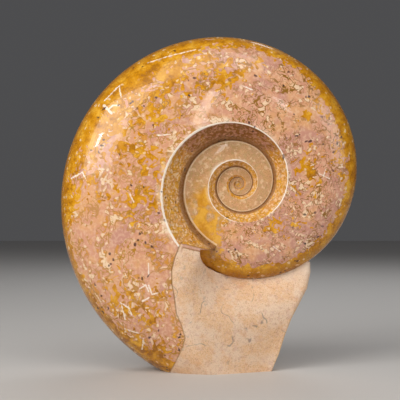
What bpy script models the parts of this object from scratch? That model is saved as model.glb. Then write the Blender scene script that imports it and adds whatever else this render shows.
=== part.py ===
"""A polished ammonite that stands upright on its sawn foot of matrix rock, one solid stone.

Metres, +Z up. The shell coils in the XZ plane, so its two like sides face -Y and +Y. The origin is
the middle of the stone's width, on the surface that the foot stands on.

Angles t run counter-clockwise as seen from -Y and go on growing turn after turn, so every place on
the shell is one angle and one radius from the coil's axis. Depth is the distance from the middle
plane, y = 0, and the stone is the same on both sides of that plane.
"""

import math

import bmesh
import bpy
from mathutils.geometry import delaunay_2d_cdt

TURN = 2.0 * math.pi

# The coil's axis
AXIS_X = 0.02416
AXIS_Z = 0.1536

# Three spirals, each a radius at angle 0 and a rate of growth per radian. The venter is the shell's
# outer edge, the shoulder is the rim of the umbilicus, and the seam is where a whorl meets the last.
VENTER_RADIUS = 0.0973
VENTER_GROWTH = 0.129
VENTER_SWAY = 0.0173
SHOULDER_RADIUS = 0.0388
SHOULDER_GROWTH = 0.146
SEAM_RADIUS = 0.0283
SEAM_GROWTH = 0.1477

# A whorl's section
HALF_THICKNESS_RATIO = 0.245
FLANK_POWER = 3.2
WALL_POWER = 0.85

# Where the plain coil ends and the foot's solid takes the shell further
COIL_END = math.radians(225.5)
TURNS = 4

# Facets: columns to a turn, and rows across the umbilical wall, the inner flank and the outer flank
COLUMNS = 60
WALL_ROWS = 2
FLANK_ROWS = 3
VENTER_ROWS = 5
SEAM_ROW = WALL_ROWS + FLANK_ROWS
VENTER_ROW = SEAM_ROW + VENTER_ROWS
CENTRE_REACH = 0.4

# The matrix foot's face, which falls away from the shell towards its free edge
FACE_START_X = -0.025
FACE_DEPTH_HIGH = 0.0405
FACE_SLOPE_HIGH = 0.30
FACE_DEPTH_LOW = 0.0420
FACE_SLOPE_LOW = 0.43
FACE_HIGH_Z = 0.060
EDGE_DEPTH = 0.0095
FACE_BLEND = 0.003

# The valley where the foot meets the earlier whorl, and the wedge that stands above it at the left
VALLEY_DEPTH = 0.005
VALLEY_WIDTH = 0.040
WEDGE_FULL_ANGLE = math.radians(240.0)
WEDGE_GONE_ANGLE = math.radians(264.0)
BURIED_DEPTH = 0.002

# The wedge's top edge, a short bevel down to the umbilical wall
LEDGE_START = (-0.0220, 0.1063)
LEDGE_END = (0.0047, 0.0995)
LEDGE_WIDTH = 0.0025

# Outline of the foot, seen from the front
FOOT_EDGE = (
    (0.0515, 0.0),
    (0.0575, 0.0141),
    (0.0621, 0.0288),
    (0.0675, 0.0429),
    (0.0744, 0.0553),
    (0.0811, 0.0676),
    (0.0840, 0.0810),
    (0.0838, 0.0893),
)
WEDGE_EDGE = (
    (0.0022, 0.0835),
    (-0.0026, 0.0864),
    (-0.0064, 0.0920),
    (-0.0077, 0.0975),
    (-0.0072, 0.1012),
)
SEAM_END = math.radians(250.0)
BURIED_START = math.radians(221.5)
BURIED_INSET = 0.009
BURIED_ARC = (math.radians(258.0), math.radians(311.0))
SEAM_INSET = 0.0008
SINK = 0.0015

# Facets of the foot: points along its lower face, which crowd towards the shell's venter, shares of
# the ledge's length, rows carried on from the coil, and a spread of points over the rest
BASE_STEPS = 12
BASE_CROWDING = 1.5
LEDGE_SHARES = (0.0, 0.33, 0.66)
CARRIED_COLUMNS = 6
NEAREST_ROW = 0.0010
FOOT_SPACING = 0.0085
NEAREST_SPREAD = 0.0050
SPREAD_ROWS = 15
SPREAD_COLUMNS = range(-6, 12)

STONE_COLOUR = (0.46, 0.24, 0.15, 1.0)
STONE_ROUGHNESS = 0.22
SHARP_ANGLE = math.radians(40.0)


def venter_radius(t):
    return VENTER_RADIUS * math.exp(VENTER_GROWTH * t + VENTER_SWAY * math.sin(t))


def shoulder_radius(t):
    return SHOULDER_RADIUS * math.exp(SHOULDER_GROWTH * t)


def seam_radius(t):
    return SEAM_RADIUS * math.exp(SEAM_GROWTH * t)


def shoulder_depth(t):
    return HALF_THICKNESS_RATIO * VENTER_RADIUS * math.exp(VENTER_GROWTH * t)


def flank_depth(t, radius):
    """Depth of the flank, which is nearly flat and then rounds off to nothing at the venter."""
    inner = shoulder_radius(t)
    across = (radius - inner) / (venter_radius(t) - inner)
    across = min(max(across, 0.0), 1.0)
    return shoulder_depth(t) * math.sqrt(1.0 - across**FLANK_POWER)


def wall_depth(t, radius):
    """Depth of the umbilical wall, which climbs from the last whorl's flank to the shoulder."""
    seam = seam_radius(t)
    low = flank_depth(t - TURN, seam)
    climb = (radius - seam) / (shoulder_radius(t) - seam)
    climb = min(max(climb, 0.0), 1.0)
    return low + (shoulder_depth(t) - low) * climb**WALL_POWER


def whorl_depth(t, radius):
    if radius < shoulder_radius(t):
        return wall_depth(t, radius)
    return flank_depth(t, radius)


def between(start, end, share):
    return start + (end - start) * share


def row_radii(t):
    """The radius of each row of facets at one angle, from the seam out to the venter."""
    seam = seam_radius(t)
    shoulder = shoulder_radius(t)
    next_seam = seam_radius(t + TURN)
    radii = [between(seam, shoulder, row / WALL_ROWS) for row in range(WALL_ROWS)]
    radii += [between(shoulder, next_seam, row / FLANK_ROWS) for row in range(FLANK_ROWS)]
    for row in range(VENTER_ROWS + 1):
        near = 1.0 - (1.0 - row / VENTER_ROWS) ** 2
        radii.append(between(next_seam, venter_radius(t), near))
    return radii


def place(t, radius):
    """The point in the XZ plane at an angle and a radius from the coil's axis."""
    return AXIS_X + radius * math.cos(t), AXIS_Z + radius * math.sin(t)


def column_angle(column):
    return COIL_END + TURN * (column / COLUMNS - TURNS)


def add_face(bm, corners):
    """A face through the corners, less any corner that is there twice."""
    unique = [c for i, c in enumerate(corners) if c is not corners[i - 1]]
    if len(unique) > 2:
        bm.faces.new(unique)


def coil_mesh():
    """The whole coil: a strip of facets that winds outwards, each whorl's first row being the row
    of the whorl inside it where the seam runs, on both sides, with the venter between them."""
    bm = bmesh.new()
    last = COLUMNS * TURNS
    first_open = last - COLUMNS
    points = {}
    for column in range(last + 1):
        t = column_angle(column)
        rows = VENTER_ROW if column >= first_open else SEAM_ROW
        for row, radius in enumerate(row_radii(t)[: rows + 1]):
            if row == 0 and column >= COLUMNS:
                points[column, row] = points[column - COLUMNS, SEAM_ROW]
                continue
            x, z = place(t, radius)
            if row == VENTER_ROW:
                edge = bm.verts.new((x, 0.0, z))
                points[column, row] = (edge, edge)
                continue
            depth = whorl_depth(t, radius)
            points[column, row] = (bm.verts.new((x, -depth, z)), bm.verts.new((x, depth, z)))

    def strip(side, a, b, c, d):
        corners = [points[key][side] for key in (a, b, c, d)]
        add_face(bm, corners if side == 1 else corners[::-1])

    for side in (0, 1):
        for column in range(last):
            rows = VENTER_ROW if column >= first_open else SEAM_ROW
            for row in range(rows):
                strip(
                    side,
                    (column, row),
                    (column, row + 1),
                    (column + 1, row + 1),
                    (column + 1, row),
                )
        # The centre, a low dome over the first turn's inner row and the strip's first edge
        ring = [points[column, 0][side] for column in range(COLUMNS)]
        ring += [points[0, row][side] for row in range(SEAM_ROW, 0, -1)]
        start = column_angle(0)
        x, z = place(start - TURN / 4.0, CENTRE_REACH * seam_radius(start))
        depth = shoulder_depth(start)
        middle = bm.verts.new((x, depth if side else -depth, z))
        for i, corner in enumerate(ring):
            corners = [middle, ring[i - 1], corner]
            add_face(bm, corners[::-1] if side else corners)

    # The flat end of the coil, which the foot's solid covers
    end = [points[last, row][0] for row in range(VENTER_ROW + 1)]
    end += [points[last, row][1] for row in range(VENTER_ROW - 1, -1, -1)]
    end += [points[first_open, row][1] for row in range(SEAM_ROW + 1, VENTER_ROW + 1)]
    end += [points[first_open, row][0] for row in range(VENTER_ROW - 1, SEAM_ROW, -1)]
    add_face(bm, end)
    return bm


def smooth_min(a, b, width):
    overlap = max(width - abs(a - b), 0.0) / width
    return min(a, b) - overlap * overlap * width / 4.0


def smooth_max(a, b, width):
    return -smooth_min(-a, -b, width)


def ease(share):
    share = min(max(share, 0.0), 1.0)
    return share * share * (3.0 - 2.0 * share)


def foot_depth(x, z):
    """Depth of the foot's solid: the last of the shell, and the matrix flush with it, which falls
    away to a free edge and dips into a valley along the earlier whorl."""
    radius = math.hypot(x - AXIS_X, z - AXIS_Z)
    t = math.atan2(z - AXIS_Z, x - AXIS_X) % TURN
    low = ease(1.0 - z / FACE_HIGH_Z)
    start = between(FACE_DEPTH_HIGH, FACE_DEPTH_LOW, low)
    slope = between(FACE_SLOPE_HIGH, FACE_SLOPE_LOW, low)
    face = smooth_max(start - slope * (x - FACE_START_X), EDGE_DEPTH, FACE_BLEND)
    depth = smooth_min(flank_depth(t, radius), face, FACE_BLEND)

    near = 1.0 - (radius - venter_radius(t - TURN)) / VALLEY_WIDTH
    if near > 0.0:
        valley = ease((t - WEDGE_FULL_ANGLE) / (WEDGE_GONE_ANGLE - WEDGE_FULL_ANGLE))
        depth -= (depth - VALLEY_DEPTH) * valley * near * near
        depth = max(depth, BURIED_DEPTH)

    if radius < shoulder_radius(t) and t < SEAM_END:
        run = (LEDGE_END[0] - LEDGE_START[0], LEDGE_END[1] - LEDGE_START[1])
        past = (run[1] * (x - LEDGE_START[0]) - run[0] * (z - LEDGE_START[1])) / math.hypot(*run)
        depth = between(wall_depth(t, radius), depth, ease(1.0 + past / LEDGE_WIDTH))
    return depth


def base_angle():
    """The angle at which the venter comes down to the surface that the stone stands on."""
    low, high = COIL_END, WEDGE_GONE_ANGLE
    for _ in range(50):
        middle = (low + high) / 2.0
        if place(middle, venter_radius(middle))[1] > 0.0:
            low = middle
        else:
            high = middle
    return low


def steps(start, end, longest):
    """Evenly spaced values from start to just before end."""
    count = max(1, math.ceil(abs(end - start) / longest))
    return [between(start, end, i / count) for i in range(count)]


def foot_outline():
    """The foot's outline in the XZ plane, counter-clockwise, with the depth at each point."""
    column = TURN / COLUMNS
    touch = base_angle()
    outline = [(*place(t, venter_radius(t)), 0.0) for t in steps(COIL_END, touch, column)]
    start_x = place(touch, venter_radius(touch))[0]
    end_x = FOOT_EDGE[0][0]
    outline.append((start_x, 0.0, 0.0))
    for step in range(1, BASE_STEPS):
        x = between(start_x, end_x, (step / BASE_STEPS) ** BASE_CROWDING)
        outline.append((x, 0.0, foot_depth(x, 0.0)))
    outline += [(x, z, foot_depth(x, z)) for x, z in FOOT_EDGE]
    for t in steps(BURIED_ARC[1], BURIED_ARC[0], column):
        x, z = place(t, venter_radius(t - TURN) - BURIED_INSET)
        outline.append((x, z, foot_depth(x, z)))
    outline += [(x, z, foot_depth(x, z)) for x, z in WEDGE_EDGE]
    outline.append((*LEDGE_END, foot_depth(*LEDGE_END)))
    for t in steps(SEAM_END, COIL_END, column) + [COIL_END]:
        x, z = place(t, seam_radius(t) - SEAM_INSET)
        outline.append((x, z, foot_depth(x, z) - SINK))
    t = BURIED_START
    for radius in steps(seam_radius(t) + SINK, venter_radius(t) - 2.0 * SINK, FOOT_SPACING):
        outline.append((*place(t, radius), whorl_depth(t, radius) - SINK))
    return outline


def inside(x, z, outline):
    """Whether a point of the XZ plane is within the outline."""
    crossed = False
    for (ax, az, _), (bx, bz, _) in zip(outline, outline[1:] + outline[:1]):
        if (az > z) != (bz > z) and x < ax + (z - az) * (bx - ax) / (bz - az):
            crossed = not crossed
    return crossed


def foot_points(outline):
    """Points within the outline, with their depths: the coil's last column, the rows that carry on
    from it, the wedge's ledge, and an even spread over the rest."""
    end_column = [(*place(COIL_END, r), whorl_depth(COIL_END, r)) for r in row_radii(COIL_END)]
    points = end_column[:-1]
    ledge = []
    run = (LEDGE_END[0] - LEDGE_START[0], LEDGE_END[1] - LEDGE_START[1])
    up = (-run[1] / math.hypot(*run), run[0] / math.hypot(*run))
    for share in LEDGE_SHARES:
        for rise in (0.0, LEDGE_WIDTH):
            ledge.append(
                (
                    LEDGE_START[0] + run[0] * share + up[0] * rise,
                    LEDGE_START[1] + run[1] * share + up[1] * rise,
                )
            )
    points += [(x, z, foot_depth(x, z)) for x, z in ledge]
    carried = []
    for step in range(1, CARRIED_COLUMNS + 1):
        t = COIL_END + step * TURN / COLUMNS
        carried += [place(t, radius) for radius in row_radii(t)[1:VENTER_ROW]]
    row_height = FOOT_SPACING * math.sqrt(0.75)
    spread = []
    for row in range(1, SPREAD_ROWS + 1):
        for column in SPREAD_COLUMNS:
            spread.append(((column + row % 2 / 2.0) * FOOT_SPACING, row * row_height))
    for spots, nearest in ((carried, NEAREST_ROW), (spread, NEAREST_SPREAD)):
        for x, z in spots:
            near = min(math.hypot(x - p[0], z - p[1]) for p in points + outline)
            if near > nearest and inside(x, z, outline):
                points.append((x, z, foot_depth(x, z)))
    return points, len(end_column) - 1


def foot_mesh():
    """The foot's solid: one triangulated sheet, set at its depth in front and behind, and walls
    round it where its edge has a thickness."""
    outline = foot_outline()
    points, end_count = foot_points(outline)
    edges = [(i, (i + 1) % len(outline)) for i in range(len(outline))]
    first = len(outline)
    edges += [(first + i, first + i + 1) for i in range(end_count - 1)]
    edges.append((first + end_count - 1, 0))
    spots = outline + points
    flat = [(x, z) for x, z, _ in spots]
    flat, _, triangles, sources, _, _ = delaunay_2d_cdt(flat, edges, [], 1, 1e-7)

    bm = bmesh.new()
    sides = []
    for (x, z), source in zip(flat, sources):
        x, z, depth = spots[source[0]] if source else (x, z, foot_depth(x, z))
        if depth <= 0.0:
            edge = bm.verts.new((x, 0.0, z))
            sides.append((edge, edge))
        else:
            sides.append((bm.verts.new((x, -depth, z)), bm.verts.new((x, depth, z))))
    for corners in triangles:
        add_face(bm, [sides[i][0] for i in corners])
        add_face(bm, [sides[i][1] for i in reversed(corners)])
    of_source = {source[0]: i for i, source in enumerate(sources) if source}
    for i in range(len(outline)):
        a = sides[of_source[i]]
        b = sides[of_source[(i + 1) % len(outline)]]
        add_face(bm, [b[0], a[0], a[1], b[1]])
    return bm


def new_object(name, bm):
    bmesh.ops.recalc_face_normals(bm, faces=bm.faces)
    bmesh.ops.triangulate(bm, faces=bm.faces)
    mesh = bpy.data.meshes.new(name)
    bm.to_mesh(mesh)
    bm.free()
    mesh.shade_smooth()
    mesh.set_sharp_from_angle(angle=SHARP_ANGLE)
    obj = bpy.data.objects.new(name, mesh)
    bpy.context.scene.collection.objects.link(obj)
    return obj


def stone_material():
    material = bpy.data.materials.new("polished stone")
    material.use_nodes = True
    shader = material.node_tree.nodes["Principled BSDF"]
    shader.inputs["Base Color"].default_value = STONE_COLOUR
    shader.inputs["Roughness"].default_value = STONE_ROUGHNESS
    shader.inputs["Metallic"].default_value = 0.0
    return material


def build_ammonite():
    """The fossil and its foot of matrix, joined in one solid."""
    foot = new_object("foot_joined_to_the_coil", foot_mesh())
    foot.hide_render = True
    foot.display_type = "WIRE"
    ammonite = new_object("ammonite", coil_mesh())
    ammonite.data.materials.append(stone_material())
    join = ammonite.modifiers.new("foot", "BOOLEAN")
    join.operation = "UNION"
    join.solver = "EXACT"
    join.object = foot


for old in list(bpy.data.objects):
    bpy.data.objects.remove(old, do_unlink=True)
build_ammonite()
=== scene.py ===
"""A polished ammonite on its foot of matrix rock, built around its solid model.

The shell coils in the XZ plane, so its two sides face -Y and +Y. Angles t run counter-clockwise as
seen from -Y and go on growing turn after turn, so every place on the shell is one angle and one
radius from the coil's axis. Depth is the distance from the middle plane, y = 0.
"""

import math
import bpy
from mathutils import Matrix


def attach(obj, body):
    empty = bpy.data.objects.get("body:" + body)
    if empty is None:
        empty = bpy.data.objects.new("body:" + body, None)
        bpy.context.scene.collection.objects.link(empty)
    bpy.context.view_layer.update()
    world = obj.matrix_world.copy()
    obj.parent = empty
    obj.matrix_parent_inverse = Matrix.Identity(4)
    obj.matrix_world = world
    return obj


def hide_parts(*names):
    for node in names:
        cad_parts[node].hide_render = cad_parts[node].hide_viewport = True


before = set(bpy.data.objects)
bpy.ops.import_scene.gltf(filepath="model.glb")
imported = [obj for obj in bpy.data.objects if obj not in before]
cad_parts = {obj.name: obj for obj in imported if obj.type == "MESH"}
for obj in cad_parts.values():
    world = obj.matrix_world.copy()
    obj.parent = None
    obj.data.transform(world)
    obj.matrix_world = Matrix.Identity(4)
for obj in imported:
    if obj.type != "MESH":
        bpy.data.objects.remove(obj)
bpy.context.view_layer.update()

from types import SimpleNamespace

import bmesh
import bpy
import numpy as np
from mathutils import Vector
from mathutils.geometry import delaunay_2d_cdt
from mathutils.kdtree import KDTree

bl_info = {
    "name": "Polished Ammonite",
    "version": (1, 0, 0),
    "blender": (4, 5, 0),
    "location": "View3D > Sidebar > Ammonite",
    "description": "Builds a polished ammonite that stands on its foot of matrix rock",
    "category": "Add Mesh",
}

NODE = "ammonite"
TURN = 2.0 * math.pi
MILLI = 0.001

# The coil's axis, and where the plain coil ends and the foot takes the shell further
AXIS_X = 0.02416
AXIS_Z = 0.1536
COIL_END = math.radians(225.5)

# The shell's last stretch, which the foot carries on
SEAM_END = math.radians(250.0)
CREASE_FADE = math.radians(10.0)
WEDGE_FULL_ANGLE = math.radians(240.0)
WEDGE_GONE_ANGLE = math.radians(264.0)
BURIED_START = math.radians(221.5)
BURIED_ARC = (math.radians(262.0), math.radians(311.0))
BURIED_INSET = 0.009
SEAM_INSET = 0.0008
SINK = 0.0015

# The wedge's top edge, with a fine gap and then a short bank down to the umbilical wall
LEDGE_START = (-0.0220, 0.1063)
LEDGE_END = (0.0047, 0.0995)
LEDGE_WIDTH = 0.0022
GAP_DEPTH = 0.0007
GAP_WIDTH = 0.0005

# Limits of the foot's faces
BURIED_DEPTH = 0.002
ROUND_START = 0.035
ROUND_RUN = 0.030
STEP_WIDTH = 0.0007
STEP_FADE = 0.060
SHOULDER_REACH = 0.004

# Outlines of the foot, seen from the front
FOOT_EDGE = (
    (0.0515, 0.0),
    (0.0575, 0.0141),
    (0.0621, 0.0288),
    (0.0675, 0.0429),
    (0.0744, 0.0553),
    (0.0811, 0.0676),
    (0.0840, 0.0810),
    (0.0838, 0.0893),
)
WEDGE_EDGE = (
    (0.0111, 0.0796),
    (0.0088, 0.0802),
    (0.0065, 0.0811),
    (0.0043, 0.0822),
    (0.0022, 0.0834),
    (-0.0003, 0.0847),
    (-0.0026, 0.0864),
    (-0.0048, 0.0889),
    (-0.0064, 0.0920),
    (-0.0073, 0.0947),
    (-0.0077, 0.0975),
    (-0.0072, 0.1012),
)

# Where the shell gives way to the matrix, from the base up to the wedge's top
SHELL_EDGE = (
    (-0.0325, 0.0),
    (-0.0268, 0.0115),
    (-0.0212, 0.0240),
    (-0.0196, 0.0310),
    (-0.0225, 0.0411),
    (-0.0265, 0.0501),
    (-0.0284, 0.0650),
    (-0.0302, 0.0740),
    (-0.0303, 0.0850),
    (-0.0278, 0.0950),
    (-0.0233, 0.1058),
)

# Rows of points beside the foot's edge, the shell's edge and the ledge, by their distance to its left
EDGE_ROWS = (0.0004, 0.0010, 0.0019, 0.0031)
SHELL_ROWS = (-0.0012, -0.0007, 0.0, 0.0005)
LEDGE_ROWS = tuple(0.0006 * i for i in range(-4, 3))

# The even spread of points over the foot, and the least gaps between points over their spacing
SPREAD_LEFT = -0.06
SPREAD_RIGHT = 0.09
SPREAD_TOP = AXIS_Z - 0.04
LINE_GAP = 0.25
SPREAD_GAP = 0.62

# How much finer the foot's lower edge is divided, and how its points crowd at the shell
BASE_FINENESS = 1.2
BASE_CROWDING = 1.5

# Meshing: the kind of triangulation that fills an outline, and distances at which points are one
FILL_OUTLINE = 1
SAME_SPOT = 1e-7
WELD = 1e-5
HALVINGS = 50
SHARP_ANGLE = math.radians(38.0)
FOOT_SLOT = 1

# Marks on the mesh: turns to count back over at most, steps over a flank, the reaches that stand for
# surely in the matrix and for outside it or the calcite, and the angle from which patches lie
MOST_TURNS = 6
FLANK_STEPS = 200
MATRIX_SURE = 0.002
OUTSIDE = -1.0
PATCHES_FROM = math.radians(-150.0)

# Where the calcite begins, as angles in degrees and shares of the way from shoulder to venter
AMBER_START = (
    (-155.0, 1.10),
    (-150.0, 0.35),
    (-132.0, 0.45),
    (-118.0, 0.62),
    (-90.0, 0.74),
    (-50.0, 0.80),
    (-15.0, 0.83),
    (10.0, 0.86),
    (22.0, 0.80),
    (45.0, 0.82),
    (60.0, 0.88),
    (85.0, 0.88),
    (100.0, 0.84),
    (112.0, 0.64),
    (128.0, 0.52),
    (150.0, 0.56),
    (165.0, 0.66),
    (178.0, 0.75),
    (186.0, 0.80),
    (195.0, 0.93),
    (215.0, 0.93),
    (232.0, 0.88),
    (250.0, 0.82),
)

# How firm the calcite's inner edge is, by the angle in degrees
AMBER_FIRMNESS = ((80.0, 7.0), (105.0, 0.9), (180.0, 0.9), (200.0, 6.0))

# How strong the painted highlight along the rim of the umbilicus is, a pale line for the light that the
# polished rim catches, by the angle in degrees
RIM_HIGHLIGHT = (
    (-460.0, 0.0),
    (-420.0, 0.5),
    (-330.0, 0.5),
    (-295.0, 1.0),
    (-270.0, 1.9),
    (-210.0, 2.1),
    (-195.0, 1.0),
    (-100.0, 0.6),
    (-85.0, 0.0),
    (-50.0, 0.0),
    (-30.0, 0.8),
    (60.0, 0.7),
    (110.0, 0.8),
    (125.0, 1.4),
    (160.0, 1.2),
    (225.0, 1.0),
    (232.0, 0.0),
)

# Patches of calcite away from that edge, on each side: x and z of the middle, half the width and
# height, and how sparse they are
FRONT_AMBER = (
    (-0.0640, 0.1790, 0.0100, 0.0050, 0.0),
    (-0.0350, 0.1640, 0.0110, 0.0070, 0.0),
    (-0.0500, 0.1430, 0.0120, 0.0040, 0.0),
    (-0.0520, 0.1700, 0.0320, 0.0480, 0.026),
    (-0.0640, 0.1350, 0.0260, 0.0300, 0.022),
    (-0.0430, 0.2080, 0.0060, 0.0050, 0.0),
    (-0.0440, 0.0190, 0.0075, 0.0050, 0.0),
    (-0.0550, 0.0480, 0.0200, 0.0300, 0.016),
    (0.0100, 0.2480, 0.0080, 0.0040, 0.0),
    (0.0050, 0.2350, 0.0400, 0.0200, 0.018),
    (0.1020, 0.2140, 0.0070, 0.0035, 0.0),
    (0.1070, 0.1720, 0.0060, 0.0045, 0.0),
    (0.0840, 0.1640, 0.0050, 0.0060, 0.0),
    (0.0700, 0.1500, 0.0180, 0.0300, 0.021),
    (-0.0700, 0.0620, 0.0060, 0.0070, 0.0),
    (-0.0480, 0.0500, 0.0045, 0.0070, 0.0),
    (0.0560, 0.1230, 0.0050, 0.0040, 0.0),
)
BACK_AMBER = (
    (-0.0500, 0.2000, 0.0140, 0.0060, 0.0),
    (-0.0600, 0.1700, 0.0280, 0.0420, 0.022),
    (-0.0750, 0.1200, 0.0070, 0.0130, 0.0),
    (-0.0380, 0.0800, 0.0060, 0.0110, 0.0),
    (0.0050, 0.2330, 0.0120, 0.0050, 0.0),
    (0.0300, 0.2300, 0.0400, 0.0200, 0.015),
    (0.0800, 0.1850, 0.0060, 0.0080, 0.0),
    (0.0600, 0.1100, 0.0080, 0.0045, 0.0),
    (-0.0150, 0.2120, 0.0050, 0.0060, 0.0),
)

# Splinters of shell that show on the front: the two ends of each and its width, in millimetres
SPLINTERS = (
    (-85.2, 221.6, -73.2, 233.6, 0.8),
    (-73.2, 233.6, -71.3, 224.0, 0.6),
    (-72.7, 216.7, -78.3, 217.2, 0.9),
    (-78.3, 217.2, -81.3, 214.1, 1.2),
    (-85.5, 217.5, -79.2, 211.0, 2.0),
    (-50.0, 252.5, -32.0, 258.0, 0.45),
    (-32.0, 258.0, -11.5, 262.8, 0.45),
    (-88.8, 193.3, -84.0, 194.9, 0.7),
    (-41.0, 192.5, -31.4, 193.3, 0.6),
    (-112.0, 158.3, -102.5, 163.0, 0.9),
    (-102.5, 163.0, -98.5, 156.0, 0.7),
    (-55.6, 69.9, -50.9, 72.9, 0.6),
    (-50.9, 72.9, -48.4, 67.9, 0.8),
    (-48.4, 72.9, -45.7, 65.6, 0.8),
    (-45.7, 65.6, -40.8, 66.8, 0.6),
    (-53.5, 59.8, -48.4, 62.8, 0.6),
    (-48.6, 90.1, -48.2, 81.0, 0.7),
    (-71.2, 58.3, -63.1, 53.2, 0.8),
    (-70.7, 57.4, -67.7, 44.6, 0.6),
    (-65.1, 54.7, -62.1, 48.6, 0.8),
    (-68.2, 36.5, -57.0, 33.5, 0.6),
    (-53.0, 29.1, -54.5, 19.8, 0.7),
    (-63.5, 145.5, -60.3, 139.1, 0.8),
    (89.0, 162.0, 97.5, 158.0, 0.5),
    (92.0, 158.5, 94.5, 166.0, 0.5),
    (82.0, 168.5, 88.0, 171.0, 0.5),
    (26.0, 233.0, 34.5, 229.5, 0.5),
    (52.0, 103.0, 57.5, 99.0, 0.5),
)

# Angles over which the last turn's colours give way to the earlier turns', and where the ochre
# blush on these comes up
EARLIER_TURNS = (math.radians(-106.0), math.radians(-114.0))
BLUSH = (math.radians(-196.0), math.radians(-160.0))

# Sutures in a turn, and the unrolled coil's metres for a radian along it, for a thickness across it
# and for the step from front to back
SUTURES = 17
UNROLLED = (0.085, 0.034, 0.4)

# The Mix node's sockets for colours
MIX_FIRST = 6
MIX_SECOND = 7
MIX_RESULT = 2

# How a seed moves a noise along each axis
SEED_SHIFT = (1.0, 0.37, -0.71)

# Polish of the shell and of the matrix
SHELL_ROUGHNESS = 0.27
MATRIX_ROUGHNESS = 0.62
COAT_WEIGHT = 0.5
COAT_ROUGHNESS = 0.05
SPECULAR_LEVEL = 0.25
RELIEF_STRENGTH = 0.35
RELIEF_HEIGHT = 0.0012

# The stage: the floor's half-width and roughness, the spot that lamps point at, and the frame
FLOOR_REACH = 3.0
FLOOR_ROUGHNESS = 0.6
LAMP_TARGET = (0.0, 0.0, 0.14)
CAMERA_X = -0.0075
CAMERA_Z = 0.1407
FRAME_PIXELS = 400.0
SENSOR_WIDTH = 36.0
WARM = (1.0, 0.975, 0.94)
COOL = (0.97, 0.985, 1.0)

# Each lamp's place, width and height, share of the key power and colour, and whether it shows in
# the polish
LAMPS = {
    "left": ((-0.80, -0.80, 0.70), (0.9, 0.7), 1.0, WARM, True),
    "right": ((1.05, -0.75, 0.50), (0.7, 0.7), 0.36, WARM, True),
    "top": ((0.0, -0.75, 1.10), (0.9, 0.6), 0.42, WARM, True),
    "left spark": ((-0.85, -0.70, 0.60), (0.09, 0.09), 0.08, WARM, True),
    "left sheen": ((0.09, -0.95, 0.40), (0.04, 0.14), 0.016, WARM, True),
    "right sheen": ((0.31, -0.95, 0.40), (0.05, 0.10), 0.014, WARM, True),
    "back": ((0.35, 0.95, 1.15), (1.1, 0.8), 0.6, COOL, False),
    "back spark": ((0.35, 0.80, 1.20), (0.16, 0.12), 0.04, COOL, True),
}


class Value:
    """A number in a node tree. Arithmetic on values adds Math nodes to their tree."""

    def __init__(self, graph, socket):
        self.graph = graph
        self.socket = socket

    def __add__(self, other):
        return self.graph.maths("ADD", self, other)

    def __sub__(self, other):
        return self.graph.maths("SUBTRACT", self, other)

    def __rsub__(self, other):
        return self.graph.maths("SUBTRACT", other, self)

    def __mul__(self, other):
        return self.graph.maths("MULTIPLY", self, other)

    def __truediv__(self, other):
        return self.graph.maths("DIVIDE", self, other)

    def __rtruediv__(self, other):
        return self.graph.maths("DIVIDE", other, self)

    def __pow__(self, other):
        return self.graph.maths("POWER", self, other)

    def __neg__(self):
        return self.graph.maths("MULTIPLY", self, -1.0)

    __radd__ = __add__
    __rmul__ = __mul__


class Graph:
    """A node tree that is being filled."""

    def __init__(self, tree):
        self.tree = tree

    def feed(self, socket, source):
        if isinstance(source, Value):
            source = source.socket
        if isinstance(source, bpy.types.NodeSocket):
            self.tree.links.new(source, socket)
        else:
            socket.default_value = source

    def node(self, kind, settings=None, inputs=None):
        """Adds a node: its settings first, and then the values or links of its sockets."""
        made = self.tree.nodes.new(kind)
        for name, setting in (settings or {}).items():
            setattr(made, name, setting)
        for key, source in (inputs or {}).items():
            self.feed(made.inputs[key], source)
        return made

    def value(self, socket):
        return Value(self, socket)

    def maths(self, operation, *numbers):
        made = self.node("ShaderNodeMath", {"operation": operation}, dict(enumerate(numbers)))
        return Value(self, made.outputs[0])


def applied(operation, plain, *numbers):
    """An operation on values of a node tree, or the plain function where all are numbers."""
    for number in numbers:
        if isinstance(number, Value):
            return number.graph.maths(operation, *numbers)
    return plain(*numbers)


def exponent(x):
    return applied("EXPONENT", np.exp, x)


def sine(x):
    return applied("SINE", np.sin, x)


def size_of(x):
    return applied("ABSOLUTE", np.abs, x)


def lesser(a, b):
    return applied("MINIMUM", np.minimum, a, b)


def greater(a, b):
    return applied("MAXIMUM", np.maximum, a, b)


def clamp(x):
    return lesser(greater(x, 0.0), 1.0)


def ease(x):
    share = clamp(x)
    return share * share * (3.0 - 2.0 * share)


def bell(x):
    return exponent(-1.0 * x * x)


def between(start, end, share):
    return start + (end - start) * share


def smooth_lesser(a, b, width):
    overlap = greater(width - size_of(a - b), 0.0) / width
    return lesser(a, b) - overlap * overlap * width * 0.25


def smooth_greater(a, b, width):
    return -1.0 * smooth_lesser(-1.0 * a, -1.0 * b, width)


def metres(name, description, default):
    return bpy.props.FloatProperty(name=name, description=description, default=default, unit="LENGTH")


def factor(name, description, default):
    return bpy.props.FloatProperty(name=name, description=description, default=default)


def integer(name, description, default, least):
    return bpy.props.IntProperty(name=name, description=description, default=default, min=least)


def tint(name, description, default):
    return bpy.props.FloatVectorProperty(
        name=name, description=description, subtype="COLOR", size=3, min=0.0, max=1.0, default=default
    )


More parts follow.
